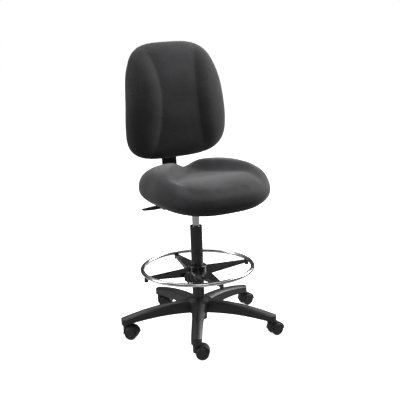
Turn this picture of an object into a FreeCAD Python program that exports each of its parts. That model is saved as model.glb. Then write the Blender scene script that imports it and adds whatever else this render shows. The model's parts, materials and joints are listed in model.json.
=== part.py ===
"""Drafting chair: five-arm caster base, fluted column, foot ring, gas lift, contoured seat and back.

Millimetres. The origin is on the floor, on the column's axis. +Z is up, the sitter faces -Y, and the
sitter's right hand is at -X. Every node is one kind of piece, exported to parts/NODE.step.
"""
import FreeCAD, Part
import math
import os

from FreeCAD import Vector, Rotation, Placement

# ---------------------------------------------------------------- driving dimensions
# base
ARM_COUNT = 5
STEM_CIRCLE_R = 295.0          # caster stems from the column's axis (25 in base)
BASE_TURN = -122.4             # direction of the first arm, degrees from +X
ARM_TIP_R = 21.0               # plan radius of an arm's rounded tip
ARM_TIP_W = 40.0               # arm width at the tip
ARM_HUB_W = 56.0               # arm width where it leaves the hub
ARM_WALL = 3.0
ARM_RIB = 2.5
ARM_CROWN = 9.0                # height of the rounded top above the arm's side walls
ARM_TOP_HUB = 124.0
ARM_TOP_TIP = 84.0
ARM_LIP_HUB = 76.0
TIP_LIP = 56.5                 # underside of the tip, where the caster's collar sits
HUB_R = 50.0
HUB_TOP = 131.0
HUB_BOSS_R = 31.0
HUB_BOSS_BOTTOM = 42.0
# casters
WHEEL_R = 25.0
WHEEL_W = 17.0
WHEEL_GAP = 14.0               # between the inner faces of the two wheels
CASTER_TRAIL = 20.0
CASTER_AXLE_R = 3.0
STEM_R = 5.5
STEM_TOP = 75.0
HOOD_WALL = 2.3
HOOD_GAP = 1.2
CASTER_TURN = (-30.0, 0.0, 5.0, -40.0, -48.0)   # rest direction of each caster's trail, degrees from +X
# column and gas lift
COLUMN_R = 24.0
COLUMN_BORE_R = 20.0
COLUMN_BOTTOM = 44.0
COLUMN_TOP = 424.0
FLUTE_COUNT = 8
FLUTE_R = 5.0
FLUTE_DEPTH = 1.7
CYLINDER_R = 14.0
CYLINDER_BORE_R = 12.0
CYLINDER_BOTTOM = 108.0
CYLINDER_TOP = 502.0
ROD_R = 5.0
ROD_TOP = 372.0
# foot ring
RING_R = 216.5                 # centreline
RING_TUBE_R = 8.0
RING_Z = 254.6
RING_SEAT_DEPTH = 1.4          # how far the tube beds into the spider's tips
SPIDER_COUNT = 4
SPIDER_TURN = -6.0             # degrees, about the axis, of the arm next to +X
SPIDER_HUB_W = 70.0
SPIDER_TIP_W = 17.0
SPIDER_WALL = 2.5
SPIDER_DEPTH = 22.0            # arm depth at the collar
SPIDER_TIP_DEPTH = 9.0
SPIDER_BOSS_R = 8.0            # screw boss under the ring
SPIDER_BOSS_DEPTH = 18.0
COLLAR_R = 36.0
COLLAR_BOTTOM = 214.0
COLLAR_TOP = 264.0
RING_KNOB_Z = 239.0
RING_KNOB_R = 22.0
RING_KNOB_REACH = 76.0         # column axis to the knob's inner face, clear of the spider's arms
# seat
SEAT_W = 472.0
SEAT_D = 440.0
SEAT_CENTRE_Y = -71.0
SEAT_POWER = 2.75              # superellipse power of the seat's outline
SEAT_RIM_Z = 544.0
SEAT_TOP_Z = 668.0
SEAT_LIP_Z = 524.0             # bottom of the waterfall front
SEAT_LIP_DEPTH = 46.0
BOARD_BOTTOM = 549.0
BOARD_T = 12.0
BOARD_INSET = 36.0             # seat edge to board edge
# seat mechanism
PLATE_T = 3.0
PLATE_W = 200.0
PLATE_FRONT = -110.0
PLATE_REAR = 88.0
BOX_W = 120.0
BOX_BOTTOM = 498.0
BOX_FRONT = -80.0
BOX_REAR = 95.0
BOX_WALL = 2.5
SOCKET_R = 19.0
SOCKET_BOTTOM = 468.0
DEPTH_KNOB_Y = 72.0
LEVER_PIVOT_X = -28.0
LEVER_Z = 511.2
LEVER_ROD_R = 4.0
LEVER_TIP_X = -226.0
LEVER_BAR_END_X = -178.0       # end of the steel bar inside the paddle
LEVER_GRIP_Z = 522.0
# back
BAR_W = 63.5
BAR_T = 6.0
BAR_Z = 537.0                  # underside of the bar's level run
BAR_FRONT = 24.0
BAR_BEND_R = 20.0              # inside radius of the bend
BAR_CENTRE_Y = 190.0           # upright run, at the bend
BAR_TOP = 868.0
RECLINE = 4.0                  # degrees
BACK_W = 444.0                 # at its widest, a quarter of the way up
BACK_TAPER = 0.075             # share of the width lost over half the height, going up
BACK_H = 448.0
BACK_BOTTOM = 676.0
BACK_POWER = 3.4               # superellipse power of the back's outline
BACK_LINE_Y = 112.0            # middle surface of the back at its lumbar point
BACK_SWEEP_UP = 54.0           # how far the middle surface swings rearward at the top edge
BACK_SWEEP_DOWN = 18.0         # and at the bottom edge
BACK_FOAM_FRONT = 48.0         # middle surface to the front of the foam
BACK_FOAM_REAR = 23.0
BACK_BOARD_T = 10.0
BACK_BOARD_INSET = 20.0
SHELL_INSET = 13.0
SHELL_T = 3.0
SHELL_DEPTH = 11.0
SHELL_PAD_Y = 153.0            # rear face of the shell's mounting pad, before the recline
BRACKET_SIDE = 6.5             # each side of the bar, slot clearance included
BRACKET_BOTTOM = 702.0
BRACKET_H = 92.0
BRACKET_WALL = 3.0
# fasteners and fits
RUNNING_FIT = 0.05             # radial, shaft in hole
SLIDE_FIT = 0.4                # between flat sliding faces
SOFT_CLEAR = 0.8               # foam to its board
M6_R = 3.0
M8_R = 4.0
HEX_ACROSS = 10.0
HEX_H = 4.5
KNOB_R = 20.0
KNOB_H = 18.0
KNOB_LOBES = 8
ARMREST_PITCH = 101.6          # arm-rest nuts, front to back
ARMREST_X = 175.0
ARMREST_Y = -31.0              # middle of the two nuts

X_AXIS = Vector(1, 0, 0)
Y_AXIS = Vector(0, 1, 0)
Z_AXIS = Vector(0, 0, 1)
nodes = {}


# ---------------------------------------------------------------- helpers
def rod(radius, low, high, x=0.0, y=0.0):
    """Upright cylinder from low to high."""
    return Part.makeCylinder(radius, high - low, Vector(x, y, low))


def tube(outer, inner, low, high, x=0.0, y=0.0):
    return rod(outer, low, high, x, y).cut(rod(inner, low - 1, high + 1, x, y))


def cross_rod(radius, start, length, direction):
    return Part.makeCylinder(radius, length, start, direction)


def block(x0, x1, y0, y1, z0, z1):
    return Part.makeBox(x1 - x0, y1 - y0, z1 - z0, Vector(x0, y0, z0))


def turned(shape, degrees, centre=Vector(0, 0, 0), axis=Z_AXIS):
    copy = shape.copy()
    copy.rotate(centre, axis, degrees)
    return copy


def moved(shape, x=0.0, y=0.0, z=0.0):
    copy = shape.copy()
    copy.translate(Vector(x, y, z))
    return copy


def around(shape, count, first=0.0):
    """Copies of a shape spread evenly about the column's axis."""
    return [turned(shape, first + step * 360.0 / count) for step in range(count)]


def joined(shapes):
    result = shapes[0].fuse(shapes[1:]) if len(shapes) > 1 else shapes[0]
    return result.removeSplitter()


def prism(points, low, high):
    wire = Part.makePolygon([Vector(x, y, low) for x, y in points + points[:1]])
    return Part.Face(wire).extrude(Vector(0, 0, high - low))


def superellipse(half_a, half_b, power, count=32):
    """Points round a superellipse, spaced by the generating angle."""
    points = []
    for step in range(count):
        angle = 2 * math.pi * (step + 0.5) / count
        cosine, sine = math.cos(angle), math.sin(angle)
        u = half_a * math.copysign(abs(cosine) ** (2.0 / power), cosine)
        v = half_b * math.copysign(abs(sine) ** (2.0 / power), sine)
        points.append((u, v))
    return points


def smooth_wire(points):
    curve = Part.BSplineCurve()
    curve.interpolate(Points=points, PeriodicFlag=True)
    return Part.Wire([curve.toShape()])


def flat_outline(half_a, half_b, power, centre_y, z):
    points = superellipse(half_a, half_b, power)
    return smooth_wire([Vector(u, centre_y + v, z) for u, v in points])


def upright_outline(half_a, half_b, power, centre_z, y):
    points = superellipse(half_a, half_b, power)
    return smooth_wire([Vector(u, y, centre_z + v) for u, v in points])


def slab_flat(half_a, half_b, power, centre_y, low, high):
    face = Part.Face(flat_outline(half_a, half_b, power, centre_y, low))
    return face.extrude(Vector(0, 0, high - low))


def slab_upright(half_a, half_b, power, centre_z, front, rear):
    face = Part.Face(upright_outline(half_a, half_b, power, centre_z, front))
    return face.extrude(Vector(0, rear - front, 0))


def hexagon(across, low, high, x=0.0, y=0.0):
    corner = across / math.sqrt(3.0)
    points = []
    for step in range(6):
        angle = math.radians(60 * step)
        points.append((x + corner * math.cos(angle), y + corner * math.sin(angle)))
    return prism(points, low, high)


def star_knob(radius, low, high):
    """Moulded hand knob with scalloped grips, standing on +Z."""
    body = rod(radius, low, high)
    body = body.makeFillet(2.5, [edge for edge in body.Edges if edge.Closed and edge.Length > radius])
    scallop_r = radius * 0.28
    scallop = rod(scallop_r, low - 1, high + 1, radius + scallop_r * 0.55)
    return body.cut(around(scallop, KNOB_LOBES))


def aim(shape, base, direction):
    """Stand a +Z shape, built at the origin, along a direction from a base point."""
    copy = shape.copy()
    copy.Placement = Placement(base, Rotation(Z_AXIS, direction))
    return copy


# ---------------------------------------------------------------- base
def arm_section(r, width, top, low):
    """Arched cross-section of an arm, in the plane x = r."""
    half = width / 2.0
    shoulder = top - ARM_CROWN * width / ARM_TIP_W
    corner_a = Vector(r, -half, low)
    corner_b = Vector(r, -half, shoulder)
    crown = Vector(r, 0, top)
    corner_c = Vector(r, half, shoulder)
    corner_d = Vector(r, half, low)
    edges = [
        Part.LineSegment(corner_a, corner_b).toShape(),
        Part.Arc(corner_b, crown, corner_c).toShape(),
        Part.LineSegment(corner_c, corner_d).toShape(),
        Part.LineSegment(corner_d, corner_a).toShape(),
    ]
    return Part.Wire(edges)


def arm_stations():
    """Radius, width, top and lip height along an arm: level by the hub, then bowing down to the tip."""
    reach = STEM_CIRCLE_R + ARM_TIP_R
    stations = []
    for share in (0.0, 0.16, 0.33, 0.50, 0.66, 0.80, 0.91, 1.0):
        r = 20.0 + share * (reach - 20.0)
        droop = max(0.0, share - 0.12) / 0.88
        top = ARM_TOP_HUB - (ARM_TOP_HUB - ARM_TOP_TIP) * droop ** 1.9
        lip = ARM_LIP_HUB + 4.0 * math.sin(math.pi * share) - (ARM_LIP_HUB - TIP_LIP) * droop ** 1.9
        width = ARM_TIP_W + (ARM_HUB_W - ARM_TIP_W) * (1.0 - share) ** 3
        stations.append((r, width, top, lip))
    return stations


def arm_outer():
    body = Part.makeLoft([arm_section(*station) for station in arm_stations()], True)
    tip_trim = rod(ARM_TIP_R, 0, 200, STEM_CIRCLE_R).fuse(block(0, STEM_CIRCLE_R, -60, 60, 0, 200))
    return body.common(tip_trim)


def arm_cavity():
    """Hollow under an arm, between the hub and the caster socket, with its ribs left standing."""
    sections = []
    for r, width, top, lip in arm_stations():
        sections.append(arm_section(r, width - 2 * ARM_WALL, top - ARM_WALL, lip - 12.0))
    inside = Part.makeLoft(sections, True)
    inside = inside.common(block(HUB_R + 6, STEM_CIRCLE_R - 18, -60, 60, 0, 200))
    ribs = [block(HUB_R, STEM_CIRCLE_R, -ARM_RIB / 2, ARM_RIB / 2, 0, 200)]
    for share in (0.2, 0.4, 0.6, 0.8):
        r = HUB_R + share * (STEM_CIRCLE_R - HUB_R)
        ribs.append(block(r, r + ARM_RIB, -60, 60, 0, 200))
    return inside.cut(ribs)


def base_spider():
    hub_line = [
        (0, HUB_BOSS_BOTTOM), (HUB_BOSS_R, HUB_BOSS_BOTTOM), (HUB_BOSS_R, ARM_LIP_HUB),
        (HUB_R, ARM_LIP_HUB), (HUB_R, ARM_TOP_HUB - 4), (COLUMN_R + 4, HUB_TOP), (0, HUB_TOP),
    ]
    wire = Part.makePolygon([Vector(r, 0, z) for r, z in hub_line + hub_line[:1]])
    hub = Part.Face(wire).revolve(Vector(0, 0, 0), Z_AXIS, 360)
    body = joined([hub] + around(arm_outer(), ARM_COUNT))
    cuts = around(arm_cavity(), ARM_COUNT)
    socket = rod(STEM_R + RUNNING_FIT, TIP_LIP - 5, STEM_TOP + 0.5, STEM_CIRCLE_R)
    cuts += around(socket, ARM_COUNT)
    cuts.append(rod(COLUMN_R, HUB_BOSS_BOTTOM - 1, HUB_TOP + 1))
    return turned(body.cut(cuts), BASE_TURN)


# ---------------------------------------------------------------- casters
def wheel():
    """One wheel of a twin caster, axle along +Y, its inner face at y = 0 and its outer face closed."""
    rim = 3.5
    face = 3.0
    bore = CASTER_AXLE_R + RUNNING_FIT
    outline = [
        (bore, 0), (7, 0), (7, WHEEL_W - face - 2), (WHEEL_R - rim, WHEEL_W - face - 2), (WHEEL_R - rim, 1),
        (WHEEL_R - 1.5, 0), (WHEEL_R, 2.5), (WHEEL_R, WHEEL_W - 4.5), (WHEEL_R - 2.5, WHEEL_W - 1.2),
        (WHEEL_R - 5, WHEEL_W), (0, WHEEL_W), (0, WHEEL_W - face), (bore, WHEEL_W - face),
    ]
    wire = Part.makePolygon([Vector(r, y, 0) for r, y in outline + outline[:1]])
    return Part.Face(wire).revolve(Vector(0, 0, 0), Y_AXIS, 360)


def caster_hood():
    """Nylon housing: stem barrel in front, a web between the wheels and a hood over both treads."""
    axle = Vector(CASTER_TRAIL, 0, WHEEL_R)
    clear_r = WHEEL_R + HOOD_GAP
    hood_r = clear_r + HOOD_WALL
    half = WHEEL_GAP / 2 + WHEEL_W - 2.5
    web = WHEEL_GAP / 2 - 1.0
    top = TIP_LIP - 2.2
    hood = cross_rod(hood_r, axle + Vector(0, -half, 0), 2 * half, Y_AXIS)
    keep = block(-30, CASTER_TRAIL + hood_r + 1, -half, half, WHEEL_R - 2, WHEEL_R + hood_r + 1)
    hood = hood.common(keep)
    barrel = rod(15.0, WHEEL_R + 1, top)
    wheel_room = [
        cross_rod(clear_r, axle + Vector(0, web, 0), 60, Y_AXIS),
        cross_rod(clear_r, axle + Vector(0, -web, 0), 60, -Y_AXIS),
    ]
    body = hood.fuse(barrel).cut(wheel_room)
    boss = cross_rod(8.0, axle + Vector(0, -web, 0), 2 * web, Y_AXIS)
    body = body.fuse(boss).removeSplitter()
    stem_hole = rod(STEM_R, WHEEL_R + 8, top + 1)
    axle_hole = cross_rod(CASTER_AXLE_R, axle + Vector(0, -web - 1, 0), 2 * web + 2, Y_AXIS)
    return body.cut([stem_hole, axle_hole])


def caster_stem():
    """Grip-ring stem: pin, collar under the arm and grooved neck."""
    pin = rod(STEM_R, WHEEL_R + 8, STEM_TOP)
    pin = pin.makeChamfer(1.0, [pin.Edges[0]]) if pin.Edges[0].Closed else pin
    collar = rod(9.0, TIP_LIP - 2.2, TIP_LIP - 0.3)
    return pin.fuse(collar).removeSplitter()


def caster_axle():
    reach = WHEEL_GAP / 2 + WHEEL_W - 3.2
    return cross_rod(CASTER_AXLE_R, Vector(CASTER_TRAIL, -reach, WHEEL_R), 2 * reach, Y_AXIS)


def add_casters():
    left = moved(wheel(), CASTER_TRAIL, WHEEL_GAP / 2, WHEEL_R)
    right = left.mirror(Vector(0, 0, 0), Y_AXIS)
    pieces = {
        "hood": caster_hood(), "stem": caster_stem(), "axle": caster_axle(),
        "wheel_left": left, "wheel_right": right,
    }
    for index in range(ARM_COUNT):
        angle = math.radians(BASE_TURN + index * 360.0 / ARM_COUNT)
        x = STEM_CIRCLE_R * math.cos(angle)
        y = STEM_CIRCLE_R * math.sin(angle)
        for name, piece in pieces.items():
            placed = moved(turned(piece, CASTER_TURN[index]), x, y)
            nodes["caster_%d_%s" % (index + 1, name)] = placed


# ---------------------------------------------------------------- column and gas lift
def flute_tools(radius, low, high):
    """Round cutters for the flutes down the outside of the column."""
    centre = COLUMN_R - FLUTE_DEPTH + FLUTE_R
    return around(rod(radius, low, high, centre), FLUTE_COUNT, 22.5 + SPIDER_TURN)


def column_tube():
    wall = tube(COLUMN_R, COLUMN_BORE_R, COLUMN_BOTTOM, COLUMN_TOP)
    wall = wall.cut(flute_tools(FLUTE_R, COLUMN_BOTTOM - 1, COLUMN_TOP + 1))
    floor = tube(COLUMN_BORE_R + 0.5, ROD_R + RUNNING_FIT, COLUMN_BOTTOM + 2, COLUMN_BOTTOM + 5)
    return wall.fuse(floor).removeSplitter()


def guide_bush():
    """Plastic liner that centres the gas cylinder, set a little below the column's rim."""
    return tube(COLUMN_BORE_R, CYLINDER_R + RUNNING_FIT, COLUMN_TOP - 122, COLUMN_TOP - 9)


BEARING_LOW = COLUMN_BOTTOM + 5
RACE_T = 1.5
BALL_R = 2.0
BALL_CIRCLE_R = 9.0
BEARING_HIGH = BEARING_LOW + 2 * RACE_T + 2 * BALL_R


def thrust_bearing():
    lower = tube(12.5, ROD_R + 0.4, BEARING_LOW, BEARING_LOW + RACE_T)
    upper = tube(12.5, ROD_R + 0.4, BEARING_HIGH - RACE_T, BEARING_HIGH)
    ball = Part.makeSphere(BALL_R - 0.01, Vector(BALL_CIRCLE_R, 0, BEARING_LOW + RACE_T + BALL_R))
    return Part.makeCompound([lower, upper] + around(ball, 10))


def piston_rod():
    shaft = rod(ROD_R, COLUMN_BOTTOM - 3, ROD_TOP)
    flange = rod(9.0, BEARING_HIGH + 0.05, BEARING_HIGH + 3)
    groove = tube(ROD_R + 1, ROD_R - 1, COLUMN_BOTTOM - 0.6, COLUMN_BOTTOM + 0.6)
    return shaft.fuse(flange).cut(groove).removeSplitter()


def rod_piston():
    return tube(CYLINDER_BORE_R - RUNNING_FIT, ROD_R, ROD_TOP - 12, ROD_TOP)


def rod_end_clip():
    """Spring clip that holds the rod's end under the column's floor."""
    ring = tube(9.0, ROD_R - 1, COLUMN_BOTTOM - 0.5, COLUMN_BOTTOM + 0.5)
    return ring.cut(block(0, 12, -3, 3, COLUMN_BOTTOM - 2, COLUMN_BOTTOM + 2))


def rubber_bumper():
    return tube(11.0, ROD_R, BEARING_HIGH + 3, BEARING_HIGH + 13)


def gas_cylinder():
    wall = tube(CYLINDER_R, CYLINDER_BORE_R, CYLINDER_BOTTOM, CYLINDER_TOP)
    head = tube(CYLINDER_R, M8_R + RUNNING_FIT, CYLINDER_TOP - 22, CYLINDER_TOP)
    return wall.fuse(head).removeSplitter()


def cylinder_seal():
    return tube(CYLINDER_BORE_R, ROD_R + RUNNING_FIT, CYLINDER_BOTTOM + 1, CYLINDER_BOTTOM + 21)


def valve_pin():
    """Push-button on top of the gas cylinder, under the lever."""
    stem = rod(M8_R, CYLINDER_TOP - 15, CYLINDER_TOP + 1)
    button = rod(M8_R / 2, CYLINDER_TOP, LEVER_Z - LEVER_ROD_R - 0.2)
    return stem.fuse(button).removeSplitter()


# ---------------------------------------------------------------- foot ring
SPIDER_TOP = RING_Z - RING_TUBE_R + RING_SEAT_DEPTH


def spider_arm_outline(inset, start, end):
    slope = (SPIDER_HUB_W - SPIDER_TIP_W) / 2 / RING_R
    half_start = SPIDER_HUB_W / 2 - slope * start - inset
    half_end = SPIDER_HUB_W / 2 - slope * end - inset
    return [(start, -half_start), (end, -half_end), (end, half_end), (start, half_start)]


def foot_ring():
    ring = Part.makeTorus(RING_R, RING_TUBE_R, Vector(0, 0, RING_Z))
    bore = Part.makeTorus(RING_R, RING_TUBE_R - 1.5, Vector(0, 0, RING_Z))
    screw = rod(M6_R, RING_Z - RING_TUBE_R - 5, RING_Z - 2, RING_R)
    return ring.cut([bore] + around(screw, SPIDER_COUNT, SPIDER_TURN))


def spider_arm():
    """Tapering arm along +X, flat on top, with the boss that the ring's screw goes up through."""
    (_, low_y), (_, end_low_y) = spider_arm_outline(0, 0, RING_R)[:2]
    sections = []
    for r, half, depth in ((0, -low_y, SPIDER_DEPTH), (RING_R, -end_low_y, SPIDER_TIP_DEPTH)):
        corners = [Vector(r, -half, SPIDER_TOP - depth), Vector(r, half, SPIDER_TOP - depth),
                   Vector(r, half, SPIDER_TOP), Vector(r, -half, SPIDER_TOP)]
        sections.append(Part.makePolygon(corners + corners[:1]))
    arm = Part.makeLoft(sections, True, True)
    return arm.fuse(rod(SPIDER_BOSS_R, SPIDER_TOP - SPIDER_BOSS_DEPTH, SPIDER_TOP, RING_R))


def foot_ring_spider():
    low = SPIDER_TOP - SPIDER_BOSS_DEPTH
    hollow = prism(spider_arm_outline(SPIDER_WALL, COLLAR_R + 2, RING_R - SPIDER_BOSS_R - 4),
                   SPIDER_TOP - SPIDER_DEPTH - 1, SPIDER_TOP - SPIDER_WALL)
    collar = rod(COLLAR_R, COLLAR_BOTTOM, COLLAR_TOP)
    collar = collar.makeFillet(3.0, [collar.Edges[0]])
    knob_angle = SPIDER_TURN - 135.0
    boss = cross_rod(13.0, Vector(COLLAR_R - 8, 0, RING_KNOB_Z), 16, X_AXIS)
    body = joined([collar, turned(boss, knob_angle)] + around(spider_arm(), SPIDER_COUNT, SPIDER_TURN))
    bed = Part.makeTorus(RING_R, RING_TUBE_R, Vector(0, 0, RING_Z))
    screw = rod(M6_R, low - 1, SPIDER_TOP + 1, RING_R)
    head = rod(6.0, low - 1, low + 4, RING_R)
    thread = cross_rod(M8_R + RUNNING_FIT, Vector(COLUMN_R + 1, 0, RING_KNOB_Z), 60, X_AXIS)
    cuts = around(hollow, SPIDER_COUNT, SPIDER_TURN)
    cuts += around(screw, SPIDER_COUNT, SPIDER_TURN)
    cuts += around(head, SPIDER_COUNT, SPIDER_TURN)
    cuts += [bed, rod(COLUMN_R + 3, COLLAR_BOTTOM - 1, COLLAR_TOP + 1), turned(thread, knob_angle)]
    return body.cut(cuts)


def foot_ring_bush():
    """Split-free plastic liner, keyed into the column's flutes so that the ring can't turn."""
    liner = tube(COLUMN_R + 3, COLUMN_R + RUNNING_FIT, COLLAR_BOTTOM, COLLAR_TOP)
    keys = flute_tools(FLUTE_R - 0.5, COLLAR_BOTTOM, COLLAR_TOP)
    keys = [key.common(rod(COLUMN_R + 1, COLLAR_BOTTOM, COLLAR_TOP)) for key in keys[::2]]
    thread = cross_rod(M8_R + RUNNING_FIT, Vector(COLUMN_R - 3, 0, RING_KNOB_Z), 60, X_AXIS)
    return liner.fuse(keys).removeSplitter().cut(turned(thread, SPIDER_TURN - 135.0))


def foot_ring_screws():
    low = SPIDER_TOP - SPIDER_BOSS_DEPTH
    shank = rod(M6_R, low + 1, RING_Z - RING_TUBE_R + 3, RING_R)
    head = rod(5.5, low + 0.4, low + 4, RING_R)
    return Part.makeCompound(around(shank.fuse(head).removeSplitter(), SPIDER_COUNT, SPIDER_TURN))


def add_ring_knob():
    direction = turned(Part.Vertex(1, 0, 0), SPIDER_TURN - 135.0).Point
    foot = Vector(0, 0, RING_KNOB_Z)
    stud = rod(M8_R, COLUMN_R + 0.3, RING_KNOB_REACH + 10)
    nodes["ring_clamp_stud"] = aim(stud, foot, direction)
    knob = star_knob(RING_KNOB_R, RING_KNOB_REACH, RING_KNOB_REACH + KNOB_H)
    knob = knob.cut(rod(M8_R, 0, RING_KNOB_REACH + 10))
    nodes["ring_knob"] = aim(knob, foot, direction)


# ---------------------------------------------------------------- seat
BOARD_HALF_W = SEAT_W / 2 - BOARD_INSET
BOARD_HALF_D = SEAT_D / 2 - BOARD_INSET
MOUTH_LAP = 10.0  # foam left under the board's edge, all round
CUSHION_LEVELS = ((30, SEAT_RIM_Z), (8, 558), (0, 586), (2, 616), (16, 646), (48, SEAT_TOP_Z))  # inset, height
LIP_ROOT_Z = 562.0
NUT_FLANGE_R = 9.0
NUT_FLANGE_T = 1.2
FLOAT_OVER_BOARD = 2.0
BOARD_TOP = BOARD_BOTTOM + BOARD_T
PLATE_TOP = BOARD_BOTTOM
PLATE_BOTTOM = PLATE_TOP - PLATE_T
PLATE_BOLTS = [(sx * (PLATE_W / 2 - 16), y) for sx in (-1, 1) for y in (PLATE_FRONT + 20, PLATE_REAR - 20)]
ARMREST_NUTS = [(sx * ARMREST_X, ARMREST_Y + k * ARMREST_PITCH) for sx in (-1, 1) for k in (-0.5, 0.5)]


def seat_board():
    board = slab_flat(BOARD_HALF_W, BOARD_HALF_D, SEAT_POWER, SEAT_CENTRE_Y, BOARD_BOTTOM, BOARD_TOP)
    holes = [rod(M8_R, BOARD_BOTTOM - 1, BOARD_TOP + 1, x, y) for x, y in PLATE_BOLTS + ARMREST_NUTS]
    return board.cut(holes)


def seat_tee_nuts():
    nuts = []
    for x, y in PLATE_BOLTS + ARMREST_NUTS:
        barrel = rod(M8_R, BOARD_BOTTOM + 1, BOARD_TOP + 1, x, y)
        flange = rod(NUT_FLANGE_R, BOARD_TOP, BOARD_TOP + NUT_FLANGE_T, x, y)
        nuts.append(barrel.fuse(flange).cut(rod(M6_R, BOARD_BOTTOM, BOARD_TOP + 2, x, y)).removeSplitter())
    return Part.makeCompound(nuts)


def seat_cushion():
    """Foam and cover as one closed block, dished under to take the board."""
    half_w = SEAT_W / 2
    half_d = SEAT_D / 2
    sections = []
    for shrink, z in CUSHION_LEVELS:
        sections.append(flat_outline(half_w - shrink, half_d - shrink, SEAT_POWER, SEAT_CENTRE_Y, z))
    body = Part.makeLoft(sections, True)
    front = SEAT_CENTRE_Y - half_d
    lip = Part.makeLoft([flat_outline(half_w - 34, half_d - 22, SEAT_POWER, SEAT_CENTRE_Y, SEAT_LIP_Z),
                         flat_outline(half_w - 14, half_d - 4, SEAT_POWER, SEAT_CENTRE_Y, LIP_ROOT_Z)], True)
    lip = lip.common(block(-half_w, half_w, front - 1, front + SEAT_LIP_DEPTH, SEAT_LIP_Z - 1, LIP_ROOT_Z + 1))
    room = slab_flat(BOARD_HALF_W + SOFT_CLEAR, BOARD_HALF_D + SOFT_CLEAR, SEAT_POWER, SEAT_CENTRE_Y,
                     BOARD_BOTTOM - 0.2, BOARD_TOP + FLOAT_OVER_BOARD)
    mouth = slab_flat(BOARD_HALF_W - MOUTH_LAP, BOARD_HALF_D - MOUTH_LAP, SEAT_POWER, SEAT_CENTRE_Y,
                      SEAT_RIM_Z - 5, BOARD_BOTTOM)
    return body.fuse(lip).removeSplitter().cut([room, mouth])


def seat_mechanism():
    """Pressed steel plate and box with the taper socket, lever lugs and the guide for the back bar."""
    half = BOX_W / 2
    guide = BAR_W / 2 + SLIDE_FIT
    plate = block(-PLATE_W / 2, PLATE_W / 2, PLATE_FRONT, PLATE_REAR, PLATE_BOTTOM, PLATE_TOP)
    outer = block(-half, half, BOX_FRONT, BOX_REAR, BOX_BOTTOM, PLATE_BOTTOM)
    inner = block(-half + BOX_WALL, half - BOX_WALL, BOX_FRONT + BOX_WALL, BOX_REAR - BOX_WALL,
                  BOX_BOTTOM + BOX_WALL, PLATE_BOTTOM)
    box = outer.cut(inner)
    socket = rod(SOCKET_R, SOCKET_BOTTOM, BOX_BOTTOM + 6)
    strap_low = BAR_Z - SLIDE_FIT - 3
    rails = [
        block(guide, guide + 8, 30, BOX_REAR, strap_low, PLATE_BOTTOM),
        block(-guide - 8, -guide, 30, BOX_REAR, strap_low, PLATE_BOTTOM),
        block(-guide - 8, guide + 8, DEPTH_KNOB_Y - 18, BOX_REAR, strap_low, BAR_Z - SLIDE_FIT),
    ]
    lugs = []
    for side in (-1, 1):
        y = side * 10.5
        lugs.append(block(LEVER_PIVOT_X - 6, LEVER_PIVOT_X + 6, y - 1.8, y + 1.8, BOX_BOTTOM, LEVER_Z + 6))
    knob_boss = rod(12.0, BOX_BOTTOM - 4, strap_low + 1, 0, DEPTH_KNOB_Y)
    body = joined([plate, box, socket, knob_boss] + rails + lugs)
    cuts = [rod(CYLINDER_R, SOCKET_BOTTOM - 1, BOX_BOTTOM + 7)]
    cuts.append(block(-half - 1, -half + BOX_WALL + 1, -8, 8, LEVER_Z - 7, LEVER_Z + 12))
    cuts.append(block(-guide, guide, BOX_REAR - 5, BOX_REAR + 1, BAR_Z - SLIDE_FIT, PLATE_BOTTOM))
    cuts.append(cross_rod(LEVER_ROD_R - 1, Vector(LEVER_PIVOT_X, -13, LEVER_Z), 26, Y_AXIS))
    cuts.append(rod(M8_R + RUNNING_FIT, BOX_BOTTOM - 6, BAR_Z, 0, DEPTH_KNOB_Y))
    cuts += [rod(M6_R + 0.3, PLATE_BOTTOM - 1, PLATE_TOP + 1, x, y) for x, y in PLATE_BOLTS]
    return body.cut(cuts)


def mechanism_bolts():
    bolts = []
    for x, y in PLATE_BOLTS:
        head = hexagon(HEX_ACROSS, PLATE_BOTTOM - HEX_H, PLATE_BOTTOM, x, y)
        bolts.append(head.fuse(rod(M6_R, PLATE_BOTTOM - 1, BOARD_TOP - 1, x, y)).removeSplitter())
    return Part.makeCompound(bolts)


def rod_along(points, radius):
    """Round bar through points, with a ball at each bend."""
    pieces = []
    for start, end in zip(points[:-1], points[1:]):
        run = end - start
        pieces.append(Part.makeCylinder(radius, run.Length, start, run))
    for bend in points[1:-1]:
        pieces.append(Part.makeSphere(radius, bend))
    return joined(pieces)


def lever_neck(start_x):
    """The lever's bar, from start_x out to its end inside the paddle."""
    bend = Vector(-136, 0, LEVER_Z)
    rise = Vector(-152, 0, LEVER_GRIP_Z)
    return rod_along([Vector(start_x, 0, LEVER_Z), bend, rise, Vector(LEVER_BAR_END_X, 0, LEVER_GRIP_Z)], LEVER_ROD_R)


def release_lever():
    boss = cross_rod(6.5, Vector(LEVER_PIVOT_X, -8, LEVER_Z), 16, Y_AXIS)
    pin_hole = cross_rod(LEVER_ROD_R - 1 + RUNNING_FIT, Vector(LEVER_PIVOT_X, -9, LEVER_Z), 18, Y_AXIS)
    return lever_neck(8).fuse(boss).cut(pin_hole).removeSplitter()


def lever_pivot_pin():
    return cross_rod(LEVER_ROD_R - 1, Vector(LEVER_PIVOT_X, -12.3, LEVER_Z), 24.6, Y_AXIS)


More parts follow.
